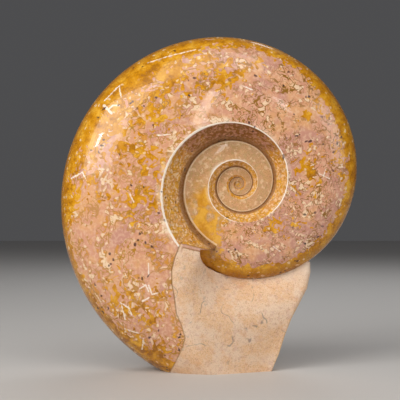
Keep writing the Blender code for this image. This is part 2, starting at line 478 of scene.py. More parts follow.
class AmmoniteCoil(bpy.types.PropertyGroup):
    """Sizes of the coiled shell"""

    turns: integer("Turns", "Turns of the coil", 4, least=2)
    columns: integer("Columns", "Faces round one turn", 204, least=60)
    wall_rows: integer("Wall Rows", "Faces across the umbilical wall", 18, least=4)
    flank_rows: integer("Flank Rows", "Faces across the inner flank", 26, least=4)
    venter_rows: integer("Venter Rows", "Faces from the inner flank to the venter", 12, least=4)
    venter_radius: metres("Venter Radius", "Radius of the shell's outer edge at angle 0", 0.0973)
    venter_growth: factor("Venter Growth", "Growth of the outer edge per radian", 0.129)
    venter_sway: factor("Venter Sway", "Unevenness of that growth once a turn", 0.0173)
    shoulder_radius: metres("Shoulder Radius", "Radius of the umbilicus's rim at angle 0", 0.0388)
    shoulder_growth: factor("Shoulder Growth", "Growth of the rim per radian", 0.146)
    seam_radius: metres("Seam Radius", "Radius at angle 0 of the seam between two whorls", 0.0283)
    seam_growth: factor("Seam Growth", "Growth of the seam per radian", 0.1477)
    thickness_ratio: factor("Thickness", "Half a whorl's thickness over its venter radius", 0.245)
    flank_power: factor("Flank Power", "How late the flank rounds off to the venter", 3.2)
    wall_power: factor("Wall Power", "How the umbilical wall bows out", 0.85)
    shoulder_round: factor("Shoulder Rounding", "Rounding of the rim over the thickness", 0.05)
    ridge_height: factor("Ridge Height", "How far the rim stands proud, over the thickness", 0.020)
    ridge_width: factor("Ridge Width", "Width of that low ridge over the thickness", 0.075)
    furrow_depth: factor("Furrow Depth", "Depth of the furrow at the seam over the thickness", 0.055)
    furrow_width: factor("Furrow Width", "Width of that furrow over the thickness", 0.11)
    furrow_bank: factor("Furrow Bank", "Width of its steep bank over the thickness", 0.03)
    lip_height: factor("Lip Height", "Height of the lip beside the seam, over the thickness", 0.010)
    lip_inset: factor("Lip Inset", "How far in from the seam it runs, over the thickness", 0.035)
    lip_width: factor("Lip Width", "Width of the lip over the thickness", 0.025)
    crowding: factor("Crowding", "How closely faces crowd at seams and rims", 0.75)


class AmmoniteFoot(bpy.types.PropertyGroup):
    """Sizes of the matrix foot"""

    face_start: metres("Face Start", "X at which the face depth is given", -0.025)
    depth_high: metres("Upper Depth", "Half-depth of the upper face", 0.0405)
    slope_high: factor("Upper Slope", "How the upper face falls away to the right", 0.30)
    depth_low: metres("Lower Depth", "Half-depth of the face at the base", 0.0420)
    slope_low: factor("Lower Slope", "How the lower face falls away to the right", 0.43)
    high_z: metres("Upper Height", "Height of the upper face", 0.060)
    edge_depth: metres("Edge Depth", "Least half-depth of the free edge", 0.0095)
    blend: metres("Blend", "Width over which faces run into each other", 0.003)
    valley_depth: metres("Valley Depth", "Half-depth under the earlier whorl", 0.005)
    valley_width: metres("Valley Width", "Width of the dip below that whorl", 0.040)
    round_high: metres("Upper Rounding", "Rounding of the upper free edge", 0.0045)
    round_low: metres("Lower Rounding", "Rounding of the sawn free edge", 0.0010)
    step: metres("Step", "How far the upper matrix lies below the shell", 0.0006)
    spacing: metres("Spacing", "Distance between the face's points", 0.00145)


class AmmoniteFinish(bpy.types.PropertyGroup):
    """Colours of the polished stone"""

    pink: tint("Pink", "Chambers of the shell", (0.670, 0.325, 0.205))
    # Mauve is also, in part, painted shade towards the right and the lower right
    mauve: tint("Mauve", "Cooler patches in the chambers", (0.560, 0.270, 0.215))
    tan: tint("Tan", "Warmer patches in the chambers", (0.740, 0.385, 0.170))
    gold: tint("Golden Lines", "Sutures on the left, where they are palest", (0.430, 0.205, 0.010))
    # Suture is also the colour of the painted shadow where the matrix meets the shell
    suture: tint("Suture", "Frilly lines between the chambers", (0.270, 0.120, 0.006))
    # Cream is also the painted highlight on the lip beside each seam
    cream: tint("Cream", "Pale lobes and flecks", (0.890, 0.680, 0.450))
    # Colour of the painted highlight on the umbilicus's rim, and the real colour of the splinters
    highlight_and_splinter: tint("Rim Highlight and Splinters", "Painted highlight on the rim of the umbilicus, and splinters", (0.960, 0.860, 0.740))
    amber: tint("Amber", "Calcite along the outer edge", (0.620, 0.260, 0.003))
    honey: tint("Honey", "Lighter parts of the calcite", (0.780, 0.405, 0.035))
    # Rust is also the painted shade along the venter and the painted shadow in the wedge's groove
    rust: tint("Rust", "Darker parts of the calcite", (0.300, 0.105, 0.004))
    # Painted shade on the umbilical wall above the axis, partly the wall's own darker brown
    wall: tint("Wall", "Umbilical wall where it is darkest", (0.190, 0.058, 0.010))
    # Colour of the painted shade in the furrow along the seam
    furrow: tint("Furrow", "Furrow along the seam", (0.290, 0.130, 0.045))
    beige: tint("Beige", "Flanks of the earlier turns", (0.560, 0.360, 0.165))
    speck: tint("Speck", "Dark mineral specks", (0.035, 0.010, 0.018))
    matrix: tint("Matrix", "Matrix rock of the foot", (0.810, 0.525, 0.312))
    # Chalk is also the painted light on the matrix under the earlier whorl
    chalk: tint("Chalk", "Palest parts of the matrix", (0.860, 0.700, 0.570))
    vein: tint("Vein", "Dark veins in the matrix", (0.160, 0.150, 0.160))


class AmmoniteStage(bpy.types.PropertyGroup):
    """The floor, the light and the camera"""

    floor_colour: tint("Floor", "Colour of the floor", (0.60, 0.58, 0.56))
    world_colour: tint("Surroundings", "Colour all around", (0.075, 0.075, 0.078))
    key_power: bpy.props.FloatProperty(
        name="Key Power", description="Power of the main lamp", default=10.8, unit="POWER"
    )
    camera_distance: metres("Camera Distance", "From the camera to the middle plane", 0.95)
    focal_pixels: factor("Focal Length", "Focal length in pixels of the 400 pixel frame", 1144.6)


class Section:
    """The shell's spirals and the depth of a whorl, for sizes that are numbers or node values."""

    def __init__(self, sizes):
        self.sizes = sizes

    def venter(self, t):
        s = self.sizes
        return s.venter_radius * exponent(s.venter_growth * t + s.venter_sway * sine(t))

    def shoulder(self, t):
        s = self.sizes
        return s.shoulder_radius * exponent(s.shoulder_growth * t)

    def seam(self, t):
        s = self.sizes
        return s.seam_radius * exponent(s.seam_growth * t)

    def thickness(self, t):
        s = self.sizes
        return s.thickness_ratio * s.venter_radius * exponent(s.venter_growth * t)

    def flank(self, t, radius):
        """The flank is nearly flat and then rounds off to nothing at the venter."""
        inner = self.shoulder(t)
        across = clamp((radius - inner) / (self.venter(t) - inner))
        return self.thickness(t) * greater(1.0 - across**self.sizes.flank_power, 0.0) ** 0.5

    def wall(self, t, radius):
        """The umbilical wall climbs from the last whorl's flank to the shoulder."""
        seam = self.seam(t)
        low = self.flank(t - TURN, seam)
        climb = greater((radius - seam) / (self.shoulder(t) - seam), 0.0)
        return low + (self.thickness(t) - low) * climb**self.sizes.wall_power

    def crease(self, t, radius):
        """The furrow in the wall along the seam at the angle t, and the low lip on the seam's other
        side."""
        s = self.sizes
        size = self.thickness(t)
        past = (radius - self.seam(t)) / size
        furrow = ease(0.5 + past / s.furrow_bank) * bell(greater(past, 0.0) / s.furrow_width)
        lip = s.lip_height * bell((past + s.lip_inset) / s.lip_width)
        fade = 1.0 - ease((t - SEAM_END + CREASE_FADE) / CREASE_FADE)
        return size * fade * (lip - s.furrow_depth * furrow)

    def depth(self, t, radius):
        s = self.sizes
        size = self.thickness(t)
        plain = smooth_lesser(self.wall(t, radius), self.flank(t, radius), s.shoulder_round * size)
        ridge = s.ridge_height * size * bell((radius - self.shoulder(t)) / (s.ridge_width * size))
        return plain + ridge + self.crease(t, radius) + self.crease(t + TURN, radius)

    def crowded(self, share):
        """A share of the way across a band of rows, which crowd at both of its edges."""
        return between(share, ease(share), self.sizes.crowding)

    def wall_radius(self, t, share):
        return between(self.seam(t), self.shoulder(t), self.crowded(share))

    def flank_radius(self, t, share):
        return between(self.shoulder(t), self.seam(t + TURN), self.crowded(share))

    def venter_side_radius(self, t, share):
        return between(self.seam(t + TURN), self.venter(t), 1.0 - (1.0 - share) ** 2.0)


def cosine(x):
    return sine(x + TURN / 4.0)


def place(t, radius):
    """The point in the XZ plane at an angle and a radius from the coil's axis."""
    return AXIS_X + radius * cosine(t), AXIS_Z + radius * sine(t)


def coil_inputs(tree, settings):
    """Gives the tree an input for each of the coil's sizes, with its name and default."""
    sockets = {}
    for name in settings.__annotations__:
        size = settings.bl_rna.properties[name]
        kind = "NodeSocketInt" if size.type == "INT" else "NodeSocketFloat"
        socket = tree.interface.new_socket(size.name, in_out="INPUT", socket_type=kind)
        socket.default_value = size.default
        sockets[name] = socket
    return sockets


def band(graph, rows, surface):
    """A band of faces over the whole coil or its last turn. The surface function gives a point's
    x, y and z from how far along and how far over the band it is, each from 0 to 1."""
    along_count, over_count = rows
    grid = graph.node(
        "GeometryNodeMeshGrid",
        inputs={"Size X": 1.0, "Size Y": 1.0, "Vertices X": along_count + 1, "Vertices Y": over_count + 1},
    )
    position = graph.node("GeometryNodeInputPosition")
    split = graph.node("ShaderNodeSeparateXYZ", inputs={0: position.outputs[0]})
    x, y, z = surface(graph.value(split.outputs[0]) + 0.5, graph.value(split.outputs[1]) + 0.5)
    joined = graph.node("ShaderNodeCombineXYZ", inputs={0: x, 1: y, 2: z})
    placed = graph.node(
        "GeometryNodeSetPosition", inputs={"Geometry": grid.outputs["Mesh"], "Position": joined.outputs[0]}
    )
    return placed.outputs[0]


def coil_tree(settings):
    """A node tree that makes the coil's skin from its sizes: a band of umbilical wall and flank on
    each side, which winds through every turn, and a band over the venter for the last turn."""
    tree = bpy.data.node_groups.new("coiled shell", "GeometryNodeTree")
    graph = Graph(tree)
    sockets = coil_inputs(tree, settings)
    finish = tree.interface.new_socket("Material", in_out="INPUT", socket_type="NodeSocketMaterial")
    tree.interface.new_socket("Geometry", in_out="OUTPUT", socket_type="NodeSocketGeometry")
    entry = graph.node("NodeGroupInput")
    values = {name: graph.value(entry.outputs[socket.name]) for name, socket in sockets.items()}
    sizes = SimpleNamespace(**values)
    section = Section(sizes)
    wall_share = sizes.wall_rows / (sizes.wall_rows + sizes.flank_rows)

    def side(along, over):
        t = COIL_END + TURN * sizes.turns * (along - 1.0)
        wall = section.wall_radius(t, clamp(over / wall_share))
        flank = section.flank_radius(t, clamp((over - wall_share) / (1.0 - wall_share)))
        radius = wall + flank - section.shoulder(t)
        x, z = place(t, radius)
        return x, section.depth(t, radius), z

    def front(along, over):
        x, depth, z = side(along, over)
        return x, -depth, z

    def venter(along, over):
        t = COIL_END + TURN * (along - 1.0)
        inward = 2.0 * over - 1.0
        radius = section.venter_side_radius(t, 1.0 - size_of(inward))
        x, z = place(t, radius)
        which = graph.maths("SIGN", inward)
        return x, which * section.depth(t, radius), z

    rows = (sizes.columns * sizes.turns, sizes.wall_rows + sizes.flank_rows)
    back_band = band(graph, rows, side)
    front_band = band(graph, rows, front)
    venter_band = band(graph, (sizes.columns, sizes.venter_rows * 2.0), venter)
    turned = graph.node("GeometryNodeJoinGeometry")
    for made in (front_band, venter_band):
        graph.feed(turned.inputs[0], made)
    flipped = graph.node("GeometryNodeFlipFaces", inputs={"Mesh": turned.outputs[0]})
    joined = graph.node("GeometryNodeJoinGeometry")
    for made in (back_band, flipped.outputs[0]):
        graph.feed(joined.inputs[0], made)
    welded = graph.node(
        "GeometryNodeMergeByDistance", inputs={"Geometry": joined.outputs[0], "Distance": WELD}
    )
    real = graph.node("GeometryNodeRealizeInstances", inputs={"Geometry": welded.outputs[0]})
    done = graph.node(
        "GeometryNodeSetMaterial",
        inputs={"Geometry": real.outputs[0], "Material": entry.outputs[finish.name]},
    )
    graph.node("NodeGroupOutput", inputs={0: done.outputs[0]})
    return tree, sockets, finish


def plain_mesh(obj):
    """The object's mesh as its modifiers leave it."""
    bpy.context.view_layer.update()
    graph = bpy.context.evaluated_depsgraph_get()
    return bpy.data.meshes.new_from_object(obj.evaluated_get(graph))


def new_object(name, data):
    obj = bpy.data.objects.new(name, data)
    bpy.context.scene.collection.objects.link(obj)
    return obj


def coil_mesh(settings, material):
    """The coil's skin from its node tree, closed at its centre and at its flat end."""
    tree, sockets, finish = coil_tree(settings)
    obj = new_object("coil", bpy.data.meshes.new("coil"))
    nodes = obj.modifiers.new("coil", "NODES")
    nodes.node_group = tree
    for name, socket in sockets.items():
        nodes[socket.identifier] = getattr(settings, name)
    nodes[finish.identifier] = material
    mesh = plain_mesh(obj)
    bpy.data.objects.remove(obj)

    bm = bmesh.new()
    bm.from_mesh(mesh)
    for loop in open_loops(bm):
        if min(abs(corner.co.y) for corner in loop) > WELD:
            middle = sum((corner.co for corner in loop), Vector()) / len(loop)
            tip = bm.verts.new(middle)
            for i, corner in enumerate(loop):
                bm.faces.new((loop[i - 1], corner, tip))
        else:
            bm.faces.new(loop)
    bmesh.ops.recalc_face_normals(bm, faces=bm.faces)
    bm.to_mesh(mesh)
    bm.free()
    return mesh


def open_loops(bm):
    """The rings of vertices round the mesh's holes."""
    loops = []
    left = dict.fromkeys(edge for edge in bm.edges if edge.is_boundary)
    while left:
        edge, _ = left.popitem()
        start, corner = edge.verts
        loop = [start]
        while corner is not start:
            loop.append(corner)
            edge = next(e for e in corner.link_edges if e in left)
            del left[edge]
            corner = edge.other_vert(corner)
        loops.append(loop)
    return loops


def distance_to_line(x, z, line):
    """The distance from points to a line of straight stretches."""
    nearest = np.full(np.shape(x), np.inf)
    for (ax, az), (bx, bz) in zip(line, line[1:]):
        run_x, run_z = bx - ax, bz - az
        share = ((x - ax) * run_x + (z - az) * run_z) / (run_x**2 + run_z**2)
        share = np.clip(share, 0.0, 1.0)
        nearest = np.minimum(nearest, np.hypot(x - ax - share * run_x, z - az - share * run_z))
    return nearest


def matrix_side(x, z):
    """How far a point is on the matrix's side of the shell's edge, in metres."""
    edge_x = np.interp(z, [p[1] for p in SHELL_EDGE], [p[0] for p in SHELL_EDGE])
    return x - edge_x


def below_ledge(x, z):
    """How far a point is below the wedge's top edge, in metres."""
    run = (LEDGE_END[0] - LEDGE_START[0], LEDGE_END[1] - LEDGE_START[1])
    return (run[1] * (x - LEDGE_START[0]) - run[0] * (z - LEDGE_START[1])) / math.hypot(*run)


def polar(x, z):
    radius = np.hypot(x - AXIS_X, z - AXIS_Z)
    t = np.arctan2(z - AXIS_Z, x - AXIS_X) % TURN
    return t, radius


def foot_depth(foot, section, x, z):
    """Depth of the foot: the last of the shell, and the matrix flush with it, which falls away to a
    free edge and dips into a valley along the earlier whorl."""
    t, radius = polar(x, z)
    low = ease(1.0 - z / foot.high_z)
    start = between(foot.depth_high, foot.depth_low, low)
    slope = between(foot.slope_high, foot.slope_low, low)
    face = smooth_greater(start - slope * (x - foot.face_start), foot.edge_depth, foot.blend)
    depth = smooth_lesser(section.flank(t, radius), face, foot.blend)

    near = greater(1.0 - (radius - section.venter(t - TURN)) / foot.valley_width, 0.0)
    valley = ease((t - WEDGE_FULL_ANGLE) / (WEDGE_GONE_ANGLE - WEDGE_FULL_ANGLE))
    depth = depth - (depth - foot.valley_depth) * valley * near * near
    depth = np.where(near > 0.0, greater(depth, BURIED_DEPTH), depth)

    rounding = between(foot.round_low, foot.round_high, ease((z - ROUND_START) / ROUND_RUN))
    into = clamp(1.0 - distance_to_line(x, z, FOOT_EDGE) / rounding)
    depth = depth - rounding * (1.0 - np.sqrt(1.0 - into * into))

    step = foot.step * ease(z / STEP_FADE)
    sunk = ease(matrix_side(x, z) / STEP_WIDTH) * ease((below_ledge(x, z) - STEP_WIDTH) / STEP_WIDTH)
    depth = np.where(near < 1.0, depth - step * sunk, depth)

    shell = np.where(t < SEAM_END, section.depth(t, radius), depth)
    below = below_ledge(x, z)
    mixed = between(shell, depth, ease(1.0 + below / LEDGE_WIDTH)) - GAP_DEPTH * bell(below / GAP_WIDTH)
    inside = radius < section.shoulder(t) + SHOULDER_REACH
    return np.where(inside & (t < SEAM_END), mixed, depth)


def base_angle(section):
    """The angle at which the venter comes down to the surface that the stone stands on."""
    low, high = COIL_END, WEDGE_GONE_ANGLE
    for _ in range(HALVINGS):
        middle = (low + high) / 2.0
        if place(middle, section.venter(middle))[1] > 0.0:
            low = middle
        else:
            high = middle
    return low


def steps(start, end, longest):
    """Evenly spaced numbers from start to just before end."""
    count = max(1, math.ceil(abs(end - start) / longest))
    return [between(start, end, i / count) for i in range(count)]


def divided(line, longest):
    """The line's points, with more between them so that no stretch is longer than that."""
    points = []
    for (ax, az), (bx, bz) in zip(line, line[1:]):
        for share in steps(0.0, 1.0, longest / math.hypot(bx - ax, bz - az)):
            points.append((between(ax, bx, share), between(az, bz, share)))
    return points + [line[-1]]


def offset(line, inset):
    """The line moved to its left by the inset."""
    moved = []
    for i, (x, z) in enumerate(line):
        ax, az = line[max(i - 1, 0)]
        bx, bz = line[min(i + 1, len(line) - 1)]
        length = math.hypot(bx - ax, bz - az)
        moved.append((x - (bz - az) / length * inset, z + (bx - ax) / length * inset))
    return moved


def column(coil, section, t):
    """Points of the coil's column at an angle, one for each row from the seam to the venter."""
    radii = [section.wall_radius(t, i / coil.wall_rows) for i in range(coil.wall_rows)]
    radii += [section.flank_radius(t, i / coil.flank_rows) for i in range(coil.flank_rows)]
    count = coil.venter_rows
    radii += [section.venter_side_radius(t, i / count) for i in range(count + 1)]
    return [(*place(t, r), section.depth(t, r)) for r in radii]


def foot_outline(foot, section, coil):
    """The foot's outline in the XZ plane, counter-clockwise, with the depth at each point."""

    def deep(points, sink=0.0):
        return [(x, z, float(foot_depth(foot, section, x, z)) - sink) for x, z in points]

    fine = foot.spacing
    touch = base_angle(section)
    arc = fine / section.venter(touch)
    outline = [(*place(t, section.venter(t)), 0.0) for t in steps(COIL_END, touch, arc)]
    start_x = place(touch, section.venter(touch))[0]
    end_x = FOOT_EDGE[0][0]
    outline.append((start_x, 0.0, 0.0))
    count = math.ceil((end_x - start_x) / fine * BASE_FINENESS)
    shares = [(i / count) ** BASE_CROWDING for i in range(1, count)]
    base = [(between(start_x, end_x, share), 0.0) for share in shares]
    outline += deep(base)
    outline += deep(divided(FOOT_EDGE, fine))
    arc = fine / section.venter(BURIED_ARC[0] - TURN)
    buried = [place(t, section.venter(t - TURN) - BURIED_INSET) for t in steps(*BURIED_ARC[::-1], arc)]
    outline += deep(buried)
    outline += deep(divided(WEDGE_EDGE + (LEDGE_END,), fine))
    arc = fine / section.seam(SEAM_END)
    seam = [place(t, section.seam(t) - SEAM_INSET) for t in steps(SEAM_END, COIL_END, arc) + [COIL_END]]
    outline += deep(seam, SINK)
    for x, z, depth in column(coil, section, BURIED_START)[1:]:
        if depth > 2.0 * SINK:
            outline.append((x, z, depth - SINK))
    return outline


def inside(x, z, outline):
    """Which points of the XZ plane are within the outline."""
    crossed = np.zeros(len(x), bool)
    for (ax, az, _), (bx, bz, _) in zip(outline, outline[1:] + outline[:1]):
        if az != bz:
            rises = (az > z) != (bz > z)
            crossed ^= rises & (x < ax + (z - az) * (bx - ax) / (bz - az))
    return crossed


def foot_points(foot, section, coil, outline):
    """Points within the outline, with their depths: the coil's last column, rows that follow the
    rounded edge, the ledge and the shell's edge, and an even spread over the rest."""
    end = column(coil, section, COIL_END)
    fine = foot.spacing
    rows = [offset(divided(FOOT_EDGE, fine), inset) for inset in EDGE_ROWS]
    ledge = divided((LEDGE_START, LEDGE_END), fine / 2.0)[:-1]
    rows += [offset(ledge, inset) for inset in LEDGE_ROWS]
    rows += [offset(divided(SHELL_EDGE, fine), inset) for inset in SHELL_ROWS]
    touch = base_angle(section)
    arc = fine / section.venter(touch)
    for i in range(1, coil.venter_rows):
        share = i / coil.venter_rows
        rows.append([place(t, section.venter_side_radius(t, share)) for t in steps(COIL_END, touch, arc)])
    lines = [point for row in rows for point in row]

    # Rows of even triangles
    height = fine * math.sqrt(0.75)
    rising = range(1, math.ceil(SPREAD_TOP / height))
    across = range(math.floor(SPREAD_LEFT / fine), math.ceil(SPREAD_RIGHT / fine))
    spread = [((j + i % 2 / 2.0) * fine, i * height) for i in rising for j in across]

    kept = end[:-1]
    taken = [(x, z) for x, z, _ in outline + kept]
    for spots, nearest in ((lines, LINE_GAP * fine), (spread, SPREAD_GAP * fine)):
        tree = KDTree(len(taken))
        for i, (x, z) in enumerate(taken):
            tree.insert((x, z, 0.0), i)
        tree.balance()
        spots = np.array(spots)
        spots = spots[inside(spots[:, 0], spots[:, 1], outline)]
        new = [(x, z) for x, z in spots.tolist() if tree.find((x, z, 0.0))[2] > nearest]
        depths = foot_depth(foot, section, *np.array(new).T)
        kept = kept + [(x, z, float(d)) for (x, z), d in zip(new, depths)]
        taken += new
    return kept, len(end) - 1


def foot_mesh(foot, section, coil, coil_skin):
    """The foot's solid: one triangulated sheet, set at its depth in front and behind, and walls
    round it where its edge has a thickness."""
    outline = foot_outline(foot, section, coil)
    points, end_count = foot_points(foot, section, coil, outline)
    first = len(outline)
    edges = [(i, (i + 1) % first) for i in range(first)]
    edges += [(first + i, first + i + 1) for i in range(end_count - 1)]
    edges.append((first + end_count - 1, 0))
    spots = outline + points
    flat_spots = [spot[:2] for spot in spots]
    filled = delaunay_2d_cdt(flat_spots, edges, [], FILL_OUTLINE, SAME_SPOT)
    flat, _, triangles, sources, _, _ = filled

    shared = KDTree(len(coil_skin.vertices))
    for corner in coil_skin.vertices:
        shared.insert(corner.co, corner.index)
    shared.balance()
    end = range(first, first + end_count)

    bm = bmesh.new()
    sides = []
    for (x, z), source in zip(flat, sources):
        if source:
            x, z, depth = spots[source[0]]
        else:
            depth = float(foot_depth(foot, section, x, z))
        pair = [Vector((x, -depth, z)), Vector((x, depth, z))]
        if source and (source[0] in end or source[0] == 0):
            pair = [shared.find(point)[0] for point in pair]
        if depth <= 0.0:
            edge = bm.verts.new(pair[0])
            sides.append((edge, edge))
        else:
            sides.append([bm.verts.new(point) for point in pair])
    for corners in triangles:
        add_face(bm, [sides[i][0] for i in corners])
        add_face(bm, [sides[i][1] for i in reversed(corners)])
    of_source = {source[0]: i for i, source in enumerate(sources) if source}
    for i in range(first):
        a = sides[of_source[i]]
        b = sides[of_source[(i + 1) % first]]
        add_face(bm, [b[0], a[0], a[1], b[1]])
    bmesh.ops.recalc_face_normals(bm, faces=bm.faces)
    mesh = bpy.data.meshes.new("foot")
    bm.to_mesh(mesh)
    bm.free()
    return mesh


def add_face(bm, corners):
    """A face through the corners, less any corner that is there twice."""
    unique = [c for i, c in enumerate(corners) if c is not corners[i - 1]]
    if len(unique) > 2:
        bm.faces.new(unique)


def joined_mesh(skin, foot, material):
    """The coil and the foot in one closed mesh, whose second slot holds the foot's faces."""
    for mesh, slot in ((skin, 0), (foot, FOOT_SLOT)):
        mesh.materials.clear()
        mesh.materials.append(material)
        mesh.materials.append(material)
        mesh.polygons.foreach_set("material_index", [slot] * len(mesh.polygons))
    part = new_object("foot", foot)
    whole = new_object("whole", skin)
    join = whole.modifiers.new("foot", "BOOLEAN")
    join.operation = "UNION"
    join.solver = "EXACT"
    join.object = part
    mesh = plain_mesh(whole)
    bpy.data.objects.remove(whole)
    bpy.data.objects.remove(part)

    bm = bmesh.new()
    bm.from_mesh(mesh)
    bmesh.ops.triangulate(bm, faces=[f for f in bm.faces if len(f.verts) > 4])
    bmesh.ops.recalc_face_normals(bm, faces=bm.faces)
    open_edges = sum(not edge.is_manifold for edge in bm.edges)
    bm.to_mesh(mesh)
    bm.free()
    if open_edges:
        raise RuntimeError(f"the stone's mesh has {open_edges} edges that aren't closed")
    return mesh


def inner_angle(t, radius, section):
    """The angle on the coil of a point at an angle within one turn, for the turn that it lies on."""
    t = np.where(t > COIL_END, t - TURN, t)
    for _ in range(MOST_TURNS):
        t = np.where(radius < section.seam(t), t - TURN, t)
    return t


def flank_table(section):
    """Shares of the way over a flank, and for each the length over the surface in thicknesses."""
    share = np.linspace(0.0, 1.0, FLANK_STEPS)
    radius = between(section.shoulder(0.0), section.venter(0.0), share)
    stretch = np.hypot(np.diff(radius), np.diff(section.flank(0.0, radius)))
    return share, np.concatenate(([0.0], np.cumsum(stretch))) / section.thickness(0.0)


def patches_reach(x, z, patches):
    """How far points are inside the nearest of some oval patches, in metres. A sparse patch has a
    shortfall, so that only its middle comes near the surface."""
    reach = np.full(np.shape(x), OUTSIDE)
    for middle_x, middle_z, half_width, half_height, shortfall in patches:
        away = np.hypot((x - middle_x) / half_width, (z - middle_z) / half_height)
        within = (1.0 - away) * min(half_width, half_height)
        reach = np.maximum(reach, within - shortfall)
    return reach


def by_angle(t, table):
    """Values at angles, from a table of angles in degrees and the values there."""
    angles, values = zip(*table)
    return np.interp(t, np.radians(angles), values)


def calcite_reach(section, t, over, x, y, z):
    """How far points are in the calcite: past its edge along the venter, or in one of its patches."""
    width = section.venter(t) - section.shoulder(t)
    reach = (over - by_angle(t, AMBER_START)) * width * by_angle(t, AMBER_FIRMNESS)
    patches = np.where(y < 0.0, patches_reach(x, z, FRONT_AMBER), patches_reach(x, z, BACK_AMBER))
    return np.maximum(reach, np.where(t > PATCHES_FROM, patches, OUTSIDE))


def matrix_reach(of_foot, t, x, z):
    """How far points of the foot are in the matrix. The coil has none."""
    reach = np.minimum(matrix_side(x, z), below_ledge(x, z))
    reach = np.where(t > WEDGE_GONE_ANGLE, np.maximum(reach, MATRIX_SURE), reach)
    return np.where(of_foot, reach, OUTSIDE)


def gathered(parts, field, width=1, kind=int):
    """One field of all vertices, corners or faces of a mesh, as a flat array."""
    values = np.empty(len(parts) * width, kind)
    parts.foreach_get(field, values)
    return values


def store(mesh, name, values):
    """Stores a number or a vector at each face corner."""
    kind, field = ("FLOAT", "value") if values.ndim == 1 else ("FLOAT_VECTOR", "vector")
    attribute = mesh.attributes.new(name, kind, "CORNER")
    attribute.data.foreach_set(field, values.astype(np.float32).ravel())


def mark_places(mesh, section):
    """Stores at every face's corners where on the coil it is, and how far into the matrix and the
    calcite, and puts all faces in the first material slot."""
    corner_of = gathered(mesh.loops, "vertex_index")
    starts = gathered(mesh.polygons, "loop_start")
    sizes = gathered(mesh.polygons, "loop_total")
    slots = gathered(mesh.polygons, "material_index")
    x, y, z = gathered(mesh.vertices, "co", 3, float).reshape(-1, 3)[corner_of].T
    middle_x = np.repeat(np.add.reduceat(x, starts) / sizes, sizes)
    middle_z = np.repeat(np.add.reduceat(z, starts) / sizes, sizes)
    of_foot = np.repeat(slots == FOOT_SLOT, sizes)

    # A corner takes its face's turn, so that no face winds from one turn to another
    middle_t, middle_radius = polar(middle_x, middle_z)
    face_t = np.where(of_foot, middle_t, inner_angle(middle_t, middle_radius, section))
    t, radius = polar(x, z)
    t = t + TURN * np.round((face_t - t) / TURN)

    # Across a whorl: from -1 at the seam to 0 at the shoulder, and then in thicknesses
    inner = section.shoulder(t)
    climb = (radius - inner) / (inner - section.seam(t))
    over = (radius - inner) / (section.venter(t) - inner)
    across = np.where(radius < inner, climb, np.interp(over, *flank_table(section)))

    # Past the nearer seam, in thicknesses of the whorl outside it
    from_seam = (radius - section.seam(t)) / section.thickness(t)
    to_next = (radius - section.seam(t + TURN)) / section.thickness(t + TURN)
    covered = ~of_foot & (face_t + TURN < SEAM_END)
    gap = np.where(covered & (middle_radius > section.shoulder(face_t)), to_next, from_seam)

    matrix = matrix_reach(of_foot, t, x, z)
    amber = calcite_reach(section, t, over, x, y, z)
    store(mesh, "coil_place", np.stack((t, across, gap), axis=1))
    store(mesh, "zones", np.stack((matrix, amber, over), axis=1))
    # Strength of the painted highlight along the rim, by the angle
    store(mesh, "rim_highlight", by_angle(t, RIM_HIGHLIGHT))
    mesh.polygons.foreach_set("material_index", np.zeros(len(mesh.polygons), int))
    mesh.materials.pop(index=FOOT_SLOT)


class Paint(Graph):
    """The node tree of a material, and the kinds of pattern that stone is made of."""

    def __init__(self, material):
        super().__init__(material.node_tree)
        self.place = self.node("ShaderNodeTexCoord").outputs["Object"]

    def combined(self, x, y, z):
        return self.node("ShaderNodeCombineXYZ", inputs={0: x, 1: y, 2: z}).outputs[0]

    def split(self, vector):
        parts = self.node("ShaderNodeSeparateXYZ", inputs={0: vector}).outputs
        return [self.value(part) for part in parts]

    def vector(self, operation, *vectors):
        made = self.node("ShaderNodeVectorMath", {"operation": operation}, dict(enumerate(vectors)))
        return made.outputs["Vector"]

    def attribute(self, name, output="Vector"):
        return self.node("ShaderNodeAttribute", {"attribute_name": name}).outputs[output]

    def noise(self, scale, detail, place=None, seed=0.0, distortion=0.0, rough=0.5):
        """Cloudy noise about a half, whose scale is in features per metre."""
        where = place or self.place
        if seed:
            where = self.vector("ADD", where, tuple(seed * part for part in SEED_SHIFT))
        look = {"Scale": scale, "Detail": detail, "Roughness": rough, "Distortion": distortion}
        return self.value(self.node("ShaderNodeTexNoise", inputs={"Vector": where, **look}).outputs[0])

    def shaken(self, reach, scale):
        """Places moved to and fro at random, which makes a pattern ragged."""
        look = {"Vector": self.place, "Scale": scale, "Detail": 1.0}
        made = self.node("ShaderNodeTexNoise", inputs=look)
        spread = self.vector("SUBTRACT", made.outputs["Color"], (0.5, 0.5, 0.5))
        return self.vector("ADD", self.place, self.vector("MULTIPLY", spread, (reach, reach, reach)))

    def dots(self, place, scale, channel, edge, chosen):
        """Dots round scattered points. Each point has a random colour, and one channel of it chooses
        the points that have a dot."""
        made = self.node("ShaderNodeTexVoronoi", inputs={"Vector": place, "Scale": scale})
        pick = self.split(made.outputs["Color"])[channel]
        return self.ramp(self.value(made.outputs["Distance"]), *edge) * self.ramp(pick, *chosen)

    def ramp(self, value, low, high):
        """From 0 where the value is low to 1 where it is high, eased at both ends."""
        made = self.node(
            "ShaderNodeMapRange",
            {"interpolation_type": "SMOOTHSTEP"},
            {"Value": value, "From Min": low, "From Max": high},
        )
        return self.value(made.outputs[0])

    def mix(self, share, first, second):
        """A colour between two others."""
        made = self.node("ShaderNodeMix", {"data_type": "RGBA", "blend_type": "MIX"})
        self.feed(made.inputs["Factor"], share)
        for key, colour in ((MIX_FIRST, first), (MIX_SECOND, second)):
            if not isinstance(colour, bpy.types.NodeSocket):
                colour = (*colour, 1.0)
            self.feed(made.inputs[key], colour)
        return made.outputs[MIX_RESULT]

    def layers(self, colour, *coats):
        """A colour under some coats, each a share and a colour of its own."""
        for share, coat in coats:
            colour = self.mix(share, colour, coat)
        return colour

